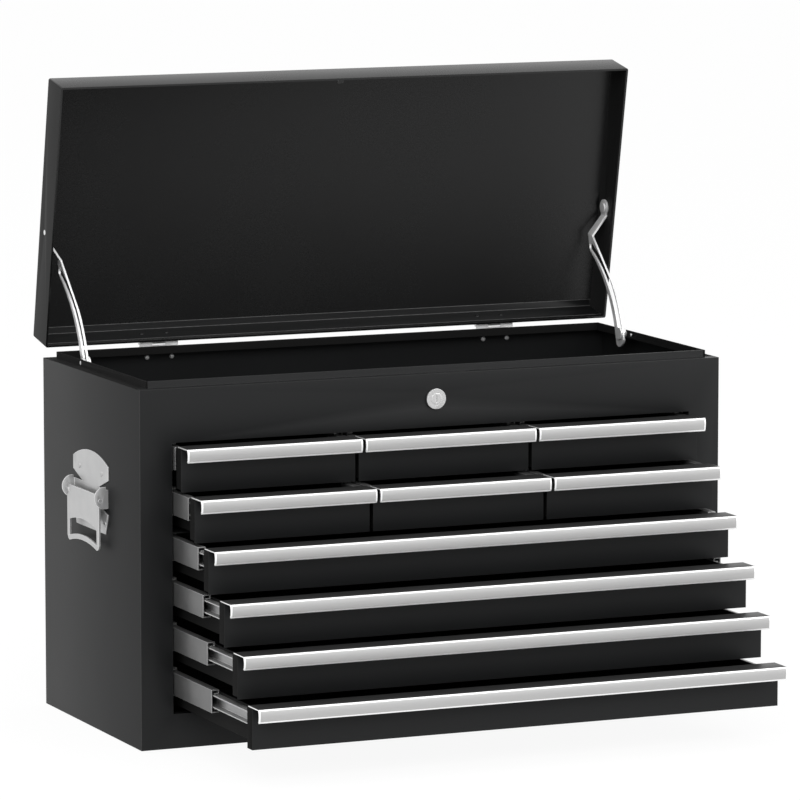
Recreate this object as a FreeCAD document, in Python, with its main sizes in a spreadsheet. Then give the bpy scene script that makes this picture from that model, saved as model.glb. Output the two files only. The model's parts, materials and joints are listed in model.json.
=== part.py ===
import FreeCAD, Part
import math
import os
import Sketcher

# Machinist tool chest of folded steel sheet: a top compartment under a hinged lid, two rows of
# three small drawers and four wide drawers on telescopic slides, two side handles and a lock.
# Frame: X to the right, Y to the back, Z up. The origin is the middle of the flat base.
# The chest stands as photographed: lid open on its stays, drawers pulled out like stairs.

SIZES = (
    # case
    ("case_width", 600.0),
    ("case_depth", 260.0),
    ("case_height", 340.0),
    ("case_sheet", 1.0),
    ("shelf_width", 10.0),
    ("lip_height", 6.5),
    ("lip_thickness", 2.0),
    ("stile_width", 32.0),
    ("plinth_height", 32.7),
    ("apron_height", 51.0),
    ("opening_return", 10.0),
    ("compartment_lift", 7.0),
    ("pan_flange", 6.0),
    ("base_flange", 15.0),
    # drawers
    ("drawer_sheet", 0.8),
    ("front_side_gap", 1.0),
    ("front_bottom_gap", 1.0),
    ("column_gap", 3.6),
    ("front_fold", 12.0),
    ("tray_lift", 4.5),
    ("tray_head_gap", 6.2),
    ("tray_back_gap", 18.0),
    ("tray_hem", 4.0),
    ("divider_sheet", 1.0),
    ("divider_setback", 3.0),
    ("divider_flange", 8.0),
    # drawer trim
    ("trim_top_gap", 1.6),
    ("trim_sheet", 1.3),
    ("trim_height", 11.5),
    ("trim_reach", 17.0),
    ("trim_tuck", 1.2),
    ("trim_grip", 8.0),
    ("trim_face_radius", 12.0),
    ("trim_side_gap", 0.4),
    ("trim_column_gap", 3.4),
    # telescopic slides
    ("slide_sheet", 1.0),
    ("slide_drop", 14.4),
    ("slide_setback", 13.0),
    ("slide_back_gap", 6.0),
    ("slide_depth", 9.0),
    ("slide_hem", 5.0),
    ("slide_gap", 0.3),
    ("rail_height", 27.0),
    ("middle_height", 21.5),
    ("member_height", 12.0),
    ("member_gap", 0.4),
    # how far each row of drawers and its middle slide members stand out
    ("first_row_pull", 20.0),
    ("second_row_pull", 54.0),
    ("third_row_pull", 88.0),
    ("fourth_row_pull", 126.0),
    ("fifth_row_pull", 158.0),
    ("sixth_row_pull", 193.0),
    ("first_row_stage", 17.0),
    ("second_row_stage", 50.0),
    ("third_row_stage", 74.0),
    ("fourth_row_stage", 86.0),
    ("fifth_row_stage", 96.0),
    ("sixth_row_stage", 106.0),
    # lid and hinges
    ("lid_height", 37.0),
    ("lid_sheet", 1.0),
    ("lid_bend_radius", 2.0),
    ("lid_hem", 6.0),
    ("lid_rest_gap", 0.3),
    ("lid_open_angle", 79.0),
    ("hinge_rise", 9.4),
    ("hinge_gap", 0.2),
    ("knuckle_radius", 2.5),
    ("hinge_pin_radius", 1.25),
    ("hinge_pin_clearance", 0.06),
    ("hinge_length", 40.0),
    ("hinge_offset", 180.0),
    ("leaf_sheet", 1.2),
    ("leaf_height", 21.0),
    ("leaf_clearance", 0.4),
    ("knuckle_clearance", 0.3),
    ("stiffener_leg", 7.0),
    ("stiffener_rise", 29.0),
    ("stiffener_end_gap", 0.5),
    # lid stays
    ("stay_sheet", 2.0),
    ("stay_inset", 4.0),
    ("stay_pivot_reach", 112.5),
    ("stay_pivot_height", 12.6),
    ("stay_turn", 16.0),
    ("stay_eye_radius", 8.0),
    ("stay_neck_width", 11.0),
    ("stay_neck_start", 9.0),
    ("stay_neck_end", 24.0),
    ("stay_width", 24.0),
    ("stay_wall", 3.2),
    ("stay_end", 8.0),
    ("stay_end_radius", 18.0),
    ("stay_slot_clearance", 0.6),
    ("stay_side_gap", 0.1),
    ("stay_rivet_radius", 2.5),
    ("stay_rivet_clearance", 0.08),
    ("stay_rivet_head", 4.5),
    ("stay_rivet_height", 1.2),
    ("stud_radius", 3.0),
    ("stud_head_radius", 6.0),
    ("stud_head_height", 1.6),
    ("stud_shoulder_radius", 4.5),
    ("stud_tail_radius", 2.0),
    ("stud_tail_clearance", 0.05),
    ("stud_back", 78.7),
    ("stud_rise", 3.2),
    ("stud_gap", 0.4),
    ("floor_slot_width", 6.0),
    ("floor_slot_front", 87.5),
    ("floor_slot_length", 34.0),
    # handles
    ("handle_height", 225.0),
    ("handle_back", -1.5),
    ("handle_sheet", 1.2),
    ("handle_plate_width", 94.0),
    ("handle_plate_radius", 115.0),
    ("handle_shoulder", 32.0),
    ("handle_cheek", 19.0),
    ("handle_waist_width", 44.0),
    ("handle_strap_top", 10.0),
    ("handle_strap_foot", 8.0),
    ("handle_wing_width", 92.0),
    ("handle_wing_top", 14.0),
    ("handle_foot_width", 78.0),
    ("handle_plate_drop", 33.0),
    ("handle_stand_off", 8.2),
    ("ear_sheet", 1.6),
    ("ear_gap", 0.4),
    ("ear_straight", 5.0),
    ("ear_rise", 13.0),
    ("ear_radius", 11.0),
    ("bail_width", 85.0),
    ("bail_sheet", 2.0),
    ("bail_top", 5.0),
    ("bail_drop", 48.5),
    ("bail_web", 28.0),
    ("bail_arm", 6.0),
    ("bail_corner", 6.0),
    ("bail_bow_radius", 150.0),
    ("bail_bar", 4.8),
    ("bail_pin_radius", 2.0),
    ("bail_pin_length", 2.6),
    ("bail_pin_clearance", 0.08),
    # lock
    ("lock_drop", 24.0),
    ("lock_face_radius", 9.75),
    ("lock_face_height", 2.2),
    ("lock_body_radius", 8.0),
    ("lock_body_length", 4.0),
    ("lock_hole_clearance", 0.05),
    ("lock_nut_radius", 11.0),
    ("lock_nut_height", 1.6),
    ("lock_plug_radius", 5.5),
    ("lock_plug_clearance", 0.06),
    ("lock_plug_stand", 0.5),
    ("keyway_width", 1.3),
    ("keyway_height", 7.0),
    ("keyway_depth", 2.0),
    ("cam_sheet", 1.5),
    ("cam_width", 7.0),
    ("cam_rise", 12.5),
    ("cam_finger", 11.0),
    ("cam_finger_width", 2.6),
    ("cam_gap", 0.5),
    ("keeper_tab", 6.0),
    ("keeper_reach", 5.5),
    ("keeper_height", 12.0),
)
DRAWER_ROWS = 6
SMALL_ROWS = 2
COLUMNS = 3
PULLS = ("first_row", "second_row", "third_row", "fourth_row", "fifth_row", "sixth_row")

doc = FreeCAD.newDocument("tool_chest")
sizes = doc.addObject("Spreadsheet::Sheet", "sizes")


class Size:
    """A length: its value in millimetres and the sheet formula that gives it."""

    def __init__(self, value, formula):
        self.value = value
        self.formula = formula

    def joined(self, sign, other, value):
        return Size(value, "(%s %s %s)" % (self.formula, sign, as_size(other).formula))

    def __add__(self, other):
        return self.joined("+", other, self.value + as_size(other).value)

    def __radd__(self, other):
        return as_size(other) + self

    def __sub__(self, other):
        return self.joined("-", other, self.value - as_size(other).value)

    def __rsub__(self, other):
        return as_size(other) - self

    def __mul__(self, other):
        return self.joined("*", other, self.value * as_size(other).value)

    def __rmul__(self, other):
        return as_size(other) * self

    def __truediv__(self, other):
        return self.joined("/", other, self.value / as_size(other).value)

    def __neg__(self):
        return Size(-self.value, "(0 - %s)" % self.formula)


def as_size(number):
    if isinstance(number, Size):
        return number
    return Size(float(number), repr(float(number)))


def sine(angle):
    return Size(math.sin(math.radians(angle.value)), "sin(%s)" % angle.formula)


def cosine(angle):
    return Size(math.cos(math.radians(angle.value)), "cos(%s)" % angle.formula)


def root(size):
    return Size(math.sqrt(size.value), "sqrt(%s)" % size.formula)


def fill_sheet():
    """Writes the driving sizes to the sheet and gives them back by name."""
    named = {}
    for line, (word, value) in enumerate(SIZES, start=1):
        sizes.set("A%d" % line, word)
        sizes.set("B%d" % line, repr(value))
        sizes.setAlias("B%d" % line, word)
        named[word] = Size(value, "sizes.%s" % word)
    doc.recompute()
    return named


S = fill_sheet()
kept = []


def keep(word, size):
    """Adds a derived size to the sheet as a formula cell, so that others can refer to it."""
    line = len(SIZES) + len(kept) + 1
    kept.append(word)
    sizes.set("A%d" % line, word)
    sizes.set("B%d" % line, "=" + size.formula.replace("sizes.", ""))
    sizes.setAlias("B%d" % line, word)
    doc.recompute()
    return Size(size.value, "sizes.%s" % word)


# places that several pieces share
half_width = S["case_width"] / 2
half_depth = S["case_depth"] / 2
inner_side = half_width - S["case_sheet"]
inner_back = half_depth - S["case_sheet"]
lip_outer_x = half_width - S["shelf_width"]
lip_outer_y = half_depth - S["shelf_width"]
lip_inner_x = lip_outer_x - S["lip_thickness"]
lip_inner_y = lip_outer_y - S["lip_thickness"]
lip_top = S["case_height"] + S["lip_height"]
opening_side = half_width - S["stile_width"]
opening_bottom = S["plinth_height"]
opening_top = S["case_height"] - S["apron_height"]
floor_top = opening_top + S["compartment_lift"]
row_pitch = keep("row_pitch", (opening_top - opening_bottom) / DRAWER_ROWS)
slide_stack = S["slide_depth"] + S["member_gap"] + S["slide_sheet"]
hinge_y = half_depth + S["hinge_gap"] + S["knuckle_radius"]
hinge_z = S["case_height"] + S["hinge_rise"]
wide_front = 2 * (opening_side - S["front_side_gap"])
small_front = (wide_front - 2 * S["column_gap"]) / COLUMNS
column_step = keep("column_step", small_front + S["column_gap"])
divider_x = column_step / 2
front_top = row_pitch - S["trim_top_gap"] - S["trim_sheet"]
tray_top = row_pitch - S["tray_head_gap"]
tray_length = S["case_depth"] - S["case_sheet"] - S["tray_back_gap"]
slide_length = S["case_depth"] - S["case_sheet"] - S["slide_setback"] - S["slide_back_gap"]
slide_axis = row_pitch - S["slide_drop"]
stay_plane = lip_inner_x - S["stay_inset"]
stud_height = S["case_height"] + S["stud_rise"]
lock_height = S["case_height"] - S["lock_drop"]
cam_reach = S["lock_drop"] + S["cam_rise"]
cam_front = S["lock_body_length"] + S["cam_gap"] - half_depth


def cell_bottom(row):
    """Height of the underside of a row, counted from 1 at the top."""
    return opening_top - row * row_pitch


def new_body(label):
    body = doc.addObject("PartDesign::Body", label)
    body.Label = label
    body.AllowCompound = True
    return body


def place(body, x=0, y=0, z=0, turn=0):
    """Sets a sub-part's Placement: a turn about X, then its base point, bound to the sheet."""
    spot = [as_size(part) for part in (x, y, z)]
    turn = as_size(turn)
    base = FreeCAD.Vector(spot[0].value, spot[1].value, spot[2].value)
    body.Placement = FreeCAD.Placement(base, FreeCAD.Rotation(FreeCAD.Vector(1, 0, 0), turn.value))
    for axis, part in zip("xyz", spot):
        body.setExpression(".Placement.Base." + axis, part.formula)
    if turn.value:
        body.setExpression(".Placement.Rotation.Angle", turn.formula)


def origin_plane(body, role):
    for feature in body.Origin.OriginFeatures:
        if feature.Role == role:
            return feature
    raise ValueError(role)


def plane_sketch(body, plane, level):
    """Sketch parallel to an origin plane, at a level along that plane's own axis.

    The XZ plane looks along -Y, so there the level changes its sign."""
    sketch = body.newObject("Sketcher::SketchObject", "Sketch")
    sketch.AttachmentSupport = (origin_plane(body, plane + "_Plane"), [""])
    sketch.MapMode = "FlatFace"
    level = as_size(level)
    if plane == "XZ":
        level = -level
    sketch.AttachmentOffset = FreeCAD.Placement(FreeCAD.Vector(0, 0, level.value), FreeCAD.Rotation())
    sketch.setExpression(".AttachmentOffset.Base.z", level.formula)
    return sketch


def pin_point(sketch, geometry, end, x, y):
    """Holds one point of the sketch at two distances from the origin."""
    for kind, distance in (("DistanceX", x), ("DistanceY", y)):
        index = sketch.addConstraint(Sketcher.Constraint(kind, -1, 1, geometry, end, distance.value))
        sketch.setExpression("Constraints[%d]" % index, distance.formula)


def arc_between(start, stop, radius):
    """Arc from start to stop; a positive radius bulges to the left of the way there."""
    along = stop - start
    left = FreeCAD.Vector(-along.y, along.x, 0).normalize()
    size = abs(radius)
    rise = size - math.sqrt(size * size - along.Length ** 2 / 4)
    top = (start + stop) * 0.5 + left * math.copysign(rise, radius)
    return Part.Arc(start, top, stop)


def draw_loop(sketch, corners):
    """Closed outline. A corner is (x, y), or (x, y, radius) where an arc leads to the next one."""
    corners = [tuple(as_size(part) for part in corner) for corner in corners]
    edges = []
    for index, corner in enumerate(corners):
        after = corners[(index + 1) % len(corners)]
        a = FreeCAD.Vector(corner[0].value, corner[1].value, 0)
        b = FreeCAD.Vector(after[0].value, after[1].value, 0)
        if len(corner) == 3:
            radius = corner[2]
            geometry = sketch.addGeometry(arc_between(a, b, radius.value), False)
            # an arc runs counter-clockwise, so one that bulges to the left ends where it starts
            ends = (2, 1) if radius.value > 0 else (1, 2)
            if radius.value < 0:
                radius = -radius
            fixed = sketch.addConstraint(Sketcher.Constraint("Radius", geometry, radius.value))
            sketch.setExpression("Constraints[%d]" % fixed, radius.formula)
        else:
            geometry = sketch.addGeometry(Part.LineSegment(a, b), False)
            ends = (1, 2)
        edges.append((geometry, ends))
    for index, (geometry, ends) in enumerate(edges):
        after_geometry, after_ends = edges[(index + 1) % len(edges)]
        sketch.addConstraint(Sketcher.Constraint(
            "Coincident", geometry, ends[1], after_geometry, after_ends[0]))
        pin_point(sketch, geometry, ends[0], corners[index][0], corners[index][1])


def draw_circle(sketch, x, y, radius):
    x, y, radius = as_size(x), as_size(y), as_size(radius)
    centre = FreeCAD.Vector(x.value, y.value, 0)
    circle = Part.Circle(centre, FreeCAD.Vector(0, 0, 1), radius.value)
    geometry = sketch.addGeometry(circle, False)
    index = sketch.addConstraint(Sketcher.Constraint("Radius", geometry, radius.value))
    sketch.setExpression("Constraints[%d]" % index, radius.formula)
    pin_point(sketch, geometry, 3, x, y)


def box_loop(x_low, x_high, y_low, y_high):
    return [(x_low, y_low), (x_high, y_low), (x_high, y_high), (x_low, y_high)]


def draw(sketch, loops):
    for loop in loops:
        if isinstance(loop, dict):
            draw_circle(sketch, loop["x"], loop["y"], loop["radius"])
        else:
            draw_loop(sketch, loop)


def slab(body, plane, loops, low, high):
    """Pad of the loops between two levels along the plane's axis."""
    low, high = as_size(low), as_size(high)
    sketch = plane_sketch(body, plane, high if plane == "XZ" else low)
    draw(sketch, loops)
    pad = body.newObject("PartDesign::Pad", "Pad")
    pad.Profile = sketch
    pad.Length = (high - low).value
    pad.setExpression("Length", (high - low).formula)
    return pad


def cut(body, plane, loops, low, high):
    """Pocket of the loops between two levels along the plane's axis; it has to remove metal."""
    doc.recompute()
    before = body.Shape.Volume
    low, high = as_size(low), as_size(high)
    sketch = plane_sketch(body, plane, low if plane == "XZ" else high)
    draw(sketch, loops)
    pocket = body.newObject("PartDesign::Pocket", "Pocket")
    pocket.Profile = sketch
    pocket.Length = (high - low).value
    pocket.setExpression("Length", (high - low).formula)
    doc.recompute()
    if not body.Shape.Volume < before:
        raise ValueError("a pocket of %s removes nothing" % body.Label)
    return pocket


def disc(x, y, radius):
    return {"x": x, "y": y, "radius": radius}


def outward(body, side, loops, near, far):
    """Slab between two distances from the middle plane, on the left (-1) or right (1) side."""
    ends = (near, far) if side > 0 else (-as_size(far), -as_size(near))
    slab(body, "YZ", loops, ends[0], ends[1])


def case_body():
    """Left side, back and right side in one wrap, with the shelf and the raised lip on top."""
    body = new_body("case_body")
    front = -inner_back
    wall = [(-half_width, front), (-half_width, half_depth), (half_width, half_depth),
            (half_width, front), (inner_side, front), (inner_side, inner_back),
            (-inner_side, inner_back), (-inner_side, front)]
    slab(body, "XY", [wall], 0, S["case_height"])
    shelf = [(-inner_side, -lip_outer_y), (-inner_side, inner_back), (inner_side, inner_back),
             (inner_side, -lip_outer_y), (lip_inner_x, -lip_outer_y), (lip_inner_x, lip_inner_y),
             (-lip_inner_x, lip_inner_y), (-lip_inner_x, -lip_outer_y)]
    slab(body, "XY", [shelf], S["case_height"] - S["case_sheet"], S["case_height"])
    lip = [(-lip_outer_x, -lip_outer_y), (-lip_outer_x, lip_outer_y), (lip_outer_x, lip_outer_y),
           (lip_outer_x, -lip_outer_y), (lip_inner_x, -lip_outer_y), (lip_inner_x, lip_inner_y),
           (-lip_inner_x, lip_inner_y), (-lip_inner_x, -lip_outer_y)]
    slab(body, "XY", [lip], S["case_height"], lip_top)
    hole = disc(hinge_y - S["stud_back"], stud_height,
                S["stud_tail_radius"] + S["stud_tail_clearance"])
    cut(body, "YZ", [hole], -lip_outer_x, lip_outer_x)
    return body


def front_frame():
    """Front face with the drawer opening, its folded edges, the front shelf and the front lip."""
    body = new_body("front_frame")
    face = box_loop(-half_width, half_width, 0, S["case_height"])
    opening = box_loop(-opening_side, opening_side, opening_bottom, opening_top)
    lock_hole = disc(0, lock_height, S["lock_body_radius"] + S["lock_hole_clearance"])
    slab(body, "XZ", [face, opening, lock_hole], -half_depth, -inner_back)
    fold = box_loop(-opening_side, opening_side, -inner_back, S["opening_return"] - inner_back)
    slab(body, "XY", [fold], opening_top, opening_top + S["case_sheet"])
    slab(body, "XY", [fold], opening_bottom - S["case_sheet"], opening_bottom)
    shelf = [(-inner_side, -inner_back), (inner_side, -inner_back), (inner_side, -lip_outer_y),
             (lip_inner_x, -lip_outer_y), (lip_inner_x, -lip_inner_y), (-lip_inner_x, -lip_inner_y),
             (-lip_inner_x, -lip_outer_y), (-inner_side, -lip_outer_y)]
    cam_slot = box_loop(-S["cam_width"] / 2 - S["cam_gap"], cam_reach,
                        cam_front - S["cam_gap"], cam_front + S["cam_sheet"] + S["cam_gap"])
    slab(body, "XY", [shelf, cam_slot], S["case_height"] - S["case_sheet"], S["case_height"])
    lip = box_loop(-lip_inner_x, lip_inner_x, -lip_outer_y, -lip_inner_y)
    slab(body, "XY", [lip], S["case_height"], lip_top)
    return body


def base_pan():
    """Bottom sheet, turned up along both sides."""
    body = new_body("base_pan")
    inner = inner_side - S["case_sheet"]
    section = [(-inner_side, 0), (inner_side, 0), (inner_side, S["base_flange"]),
               (inner, S["base_flange"]), (inner, S["case_sheet"]), (-inner, S["case_sheet"]),
               (-inner, S["base_flange"]), (-inner_side, S["base_flange"])]
    slab(body, "XZ", [section], -inner_back, inner_back)
    return body


def compartment_floor():
    """Floor of the top compartment, turned up all round, with the slots that the stays pass."""
    body = new_body("compartment_floor")
    under = floor_top - S["case_sheet"]
    outline = box_loop(-inner_side, inner_side, -inner_back, inner_back)
    slots = []
    for side in (-1, 1):
        near = side * stay_plane - S["floor_slot_width"] / 2
        far = side * stay_plane + S["floor_slot_width"] / 2
        back = hinge_y - S["floor_slot_front"] + S["floor_slot_length"]
        slots.append(box_loop(near, far, hinge_y - S["floor_slot_front"], back))
    slab(body, "XY", [outline] + slots, under, floor_top)
    hollow = box_loop(S["case_sheet"] - inner_side, inner_side - S["case_sheet"],
                      S["case_sheet"] - inner_back, inner_back - S["case_sheet"])
    slab(body, "XY", [outline, hollow], floor_top,
         floor_top + S["pan_flange"])
    return body


def side_liners():
    """Inner side walls, which carry the slides; each is a channel turned out to the side wall."""
    body = new_body("side_liners")
    far = inner_side - S["case_sheet"]
    for side in (-1, 1):
        web, inner, edge = side * opening_side, side * (opening_side + S["case_sheet"]), side * far
        section = [(web, -inner_back), (edge, -inner_back), (edge, S["case_sheet"] - inner_back),
                   (inner, S["case_sheet"] - inner_back), (inner, inner_back - S["case_sheet"]),
                   (edge, inner_back - S["case_sheet"]), (edge, inner_back), (web, inner_back)]
        slab(body, "XY", [section], S["case_sheet"], floor_top - S["case_sheet"])
    return body


def drawer_dividers():
    """Two uprights between the small drawers, and the shelf that they stand on."""
    body = new_body("drawer_dividers")
    half = S["divider_sheet"] / 2
    front = S["divider_setback"] - half_depth
    shelf_top = cell_bottom(SMALL_ROWS) + half
    shelf = box_loop(-opening_side, opening_side, front, inner_back)
    slab(body, "XY", [shelf], cell_bottom(SMALL_ROWS) - half, shelf_top)
    top = floor_top - S["case_sheet"]
    # the uprights are notched under the folded top edge of the drawer opening
    notch = S["opening_return"] - inner_back
    upright = [(front, shelf_top), (front, opening_top), (notch, opening_top),
               (notch, top), (inner_back, top), (inner_back, shelf_top)]
    for side in (-1, 1):
        middle = side * divider_x
        slab(body, "YZ", [upright], middle - half, middle + half)
        edge = middle + side * half
        flange = box_loop(edge, edge + side * S["divider_flange"], front + S["front_fold"], inner_back)
        slab(body, "XY", [flange], top - S["divider_sheet"], top)
    return body


def hemmed_channel(wall, facing, axis, near, half, inner_half):
    """Section of a slide member whose flanges are folded back inward to make the running faces.

    wall is the sheet that carries it, facing the side that it looks to, near its distance
    from that wall, half and inner_half the outer and the free height on each side of axis."""
    sheet = S["slide_sheet"]
    back = wall + facing * near
    web = wall + facing * (near + sheet)
    edge = wall + facing * S["slide_depth"]
    fold = wall + facing * (S["slide_depth"] - sheet)
    turned = wall + facing * (S["slide_depth"] - S["slide_hem"])
    upper = [(edge, half), (edge, inner_half), (turned, inner_half), (turned, inner_half + sheet),
             (fold, inner_half + sheet), (fold, half - sheet), (web, half - sheet)]
    lower = [(x, axis - rise) for x, rise in reversed(upper)]
    upper = [(x, axis + rise) for x, rise in upper]
    return [(back, axis - half), (back, axis + half)] + upper + lower


def column_walls(column):
    """The two faces that a drawer's slides sit on: liners, or the dividers of the small drawers."""
    half = S["divider_sheet"] / 2
    if column is None:
        return -opening_side, opening_side
    if column == 0:
        return -opening_side, -divider_x - half
    if column == 1:
        return half - divider_x, divider_x - half
    return divider_x + half, opening_side


def fixed_slide_rails():
    """Outer slide members, fixed to the liners and to both faces of each divider."""
    body = new_body("fixed_slide_rails")
    half = S["rail_height"] / 2
    free = S["middle_height"] / 2 + S["slide_gap"]
    front = S["slide_setback"] - half_depth
    columns_of_row = {1: (0, 1, 2), 2: (0, 1, 2)}
    for row in range(1, DRAWER_ROWS + 1):
        axis = cell_bottom(row) + slide_axis
        for column in columns_of_row.get(row, (None,)):
            for wall, facing in zip(column_walls(column), (1, -1)):
                section = hemmed_channel(wall, facing, axis, as_size(0), half, free)
                slab(body, "XZ", [section], front, front + slide_length)
    return body


def drawer_frame(row, column):
    """Middle of the drawer front, its width and the middle between the slide walls."""
    if column is None:
        return as_size(0), wide_front
    return (column - 1) * column_step, small_front


def drawer_tray(number, row, column):
    """Drawer: a front with folded edges and a box with hemmed walls behind it."""
    body = new_body("drawer_%02d_tray" % number)
    middle, width = drawer_frame(row, column)
    left, right = column_walls(column)
    left, right = left + slide_stack - middle, right - slide_stack - middle
    sheet, hem = S["drawer_sheet"], 2 * S["drawer_sheet"]
    face = box_loop(-width / 2, width / 2, S["front_bottom_gap"], front_top)
    slab(body, "XZ", [face], 0, S["front_fold"])
    hollow = box_loop(sheet - width / 2, width / 2 - sheet, S["front_bottom_gap"] + sheet, front_top - sheet)
    cut(body, "XZ", [hollow], sheet, S["front_fold"])
    slab(body, "XY", [box_loop(left, right, sheet, tray_length)], S["tray_lift"], tray_top)
    inside = box_loop(left + sheet, right - sheet, sheet, tray_length - sheet)
    cut(body, "XY", [inside], S["tray_lift"] + sheet, tray_top - S["tray_hem"])
    mouth = box_loop(left + hem, right - hem, sheet, tray_length - hem)
    cut(body, "XY", [mouth], tray_top - S["tray_hem"], tray_top)
    return body


def drawer_trim(number, row, column):
    """Drawer pull: a strip gripped on the front's top edge, with a bulged face bent down."""
    body = new_body("drawer_%02d_trim" % number)
    middle, width = drawer_frame(row, column)
    if column is None:
        half = opening_side - S["trim_side_gap"]
    else:
        half = (column_step - S["trim_column_gap"]) / 2
    top = front_top + S["trim_sheet"]
    low = top - S["trim_height"]
    section = [(-S["trim_reach"], low, S["trim_face_radius"]),
               (-S["trim_reach"], top),
               (S["trim_grip"], top),
               (S["trim_grip"], front_top),
               (S["trim_sheet"] - S["trim_reach"], front_top, S["trim_sheet"] - S["trim_face_radius"]),
               (S["trim_sheet"] - S["trim_reach"], low)]
    slab(body, "YZ", [section], -half, half)
    return body


def drawer_runners(number, row, column):
    """Inner slide members: plain channels fixed to the two sides of the drawer."""
    body = new_body("drawer_%02d_runners" % number)
    middle, width = drawer_frame(row, column)
    half, sheet = S["member_height"] / 2, S["slide_sheet"]
    axis = slide_axis
    for wall, facing in zip(column_walls(column), (1, -1)):
        wall = wall - middle
        back = wall + facing * slide_stack
        web = wall + facing * (slide_stack - sheet)
        tip = wall + facing * (S["slide_gap"] + 2 * sheet + S["member_gap"])
        section = [(back, axis - half), (back, axis + half), (tip, axis + half),
                   (tip, axis + half - sheet), (web, axis + half - sheet),
                   (web, axis - half + sheet), (tip, axis - half + sheet), (tip, axis - half)]
        slab(body, "XZ", [section], S["slide_setback"], tray_length)
    return body


def slide_middles(number, row, column):
    """Middle slide members, which run in the fixed rails and carry the runners."""
    body = new_body("drawer_%02d_slide_middles" % number)
    middle, width = drawer_frame(row, column)
    half = S["middle_height"] / 2
    free = S["member_height"] / 2 + S["slide_gap"]
    near = S["slide_sheet"] + S["slide_gap"]
    for wall, facing in zip(column_walls(column), (1, -1)):
        section = hemmed_channel(wall - middle, facing, slide_axis, near, half, free)
        slab(body, "XZ", [section], S["slide_setback"], S["slide_setback"] + slide_length)
    return body


def drawers():
    """All drawers, numbered from the top left, each set at its row and pulled out."""
    parts = []
    number = 0
    for row in range(1, DRAWER_ROWS + 1):
        pull = S[PULLS[row - 1] + "_pull"]
        stage = S[PULLS[row - 1] + "_stage"]
        for column in range(COLUMNS) if row <= SMALL_ROWS else (None,):
            number += 1
            middle, width = drawer_frame(row, column)
            for make in (drawer_tray, drawer_trim, drawer_runners):
                body = make(number, row, column)
                place(body, middle, -half_depth - pull, cell_bottom(row))
                parts.append(body)
            body = slide_middles(number, row, column)
            place(body, middle, -half_depth - stage, cell_bottom(row))
            parts.append(body)
    return parts


def place_on_hinge(body):
    """Lid pieces are drawn closed, about the hinge axis, and turned open by their Placement."""
    place(body, 0, hinge_y, hinge_z, -S["lid_open_angle"])


# the lid seen from the hinge axis, closed: its back face, front face, rim and top
lid_back = half_depth - hinge_y
lid_front = -half_depth - hinge_y
lid_rim = S["case_height"] + S["lid_rest_gap"] - hinge_z
lid_top = S["case_height"] + S["lid_height"] - hinge_z


def lid_shell():
    """Lid: a shallow pan with rounded folds and a hem along its rim."""
    body = new_body("lid_shell")
    slab(body, "XY", [box_loop(-half_width, half_width, lid_front, lid_back)], lid_rim, lid_top)
    doc.recompute()
    folds = []
    for index, edge in enumerate(body.Shape.Edges, start=1):
        middle = edge.CenterOfMass
        if middle.z > lid_rim.value + 1:
            folds.append("Edge%d" % index)
    pad = body.Tip
    fillet = body.newObject("PartDesign::Fillet", "Fillet")
    fillet.Base = (pad, folds)
    fillet.Radius = S["lid_bend_radius"].value
    fillet.setExpression("Radius", S["lid_bend_radius"].formula)
    sheet = S["lid_sheet"]
    inside = box_loop(sheet - half_width, half_width - sheet, lid_front + sheet, lid_back - sheet)
    cut(body, "XY", [inside], lid_rim, lid_top - sheet)
    hem = 2 * sheet
    mouth = box_loop(hem - half_width, half_width - hem, lid_front + hem, lid_back - hem)
    slab(body, "XY", [inside, mouth], lid_rim, lid_rim + S["lid_hem"])
    hole = disc(-S["stay_pivot_reach"], S["stay_pivot_height"],
                S["stay_rivet_radius"] + S["stay_rivet_clearance"])
    cut(body, "YZ", [hole], -half_width, half_width)
    place_on_hinge(body)
    return body


def lid_reinforcements():
    """Angle along the back of the lid, and the keeper that the lock cam hooks over."""
    body = new_body("lid_reinforcements")
    sheet = S["lid_sheet"]
    wall, roof = lid_back - sheet, lid_top - sheet
    section = [(wall, roof - S["stiffener_rise"]), (wall, roof),
               (wall - sheet - S["stiffener_leg"], roof),
               (wall - sheet - S["stiffener_leg"], roof - sheet),
               (wall - sheet, roof - sheet), (wall - sheet, roof - S["stiffener_rise"])]
    end = half_width - sheet - S["stiffener_end_gap"]
    slab(body, "YZ", [section], -end, end)
    face = lid_front + sheet
    # the tab lies under the cam's finger when the lid is shut and the cam is turned up
    tab_top = lock_height + cam_reach - S["cam_finger_width"] - S["cam_gap"] - hinge_z
    keeper = [(face, tab_top - sheet), (face, tab_top + S["keeper_height"]),
              (face + sheet, tab_top + S["keeper_height"]), (face + sheet, tab_top),
              (face + sheet + S["keeper_reach"], tab_top),
              (face + sheet + S["keeper_reach"], tab_top - sheet)]
    right = -S["cam_width"] / 2 - S["cam_gap"]
    slab(body, "YZ", [keeper], right - S["keeper_tab"], right)
    place_on_hinge(body)
    return body


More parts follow.
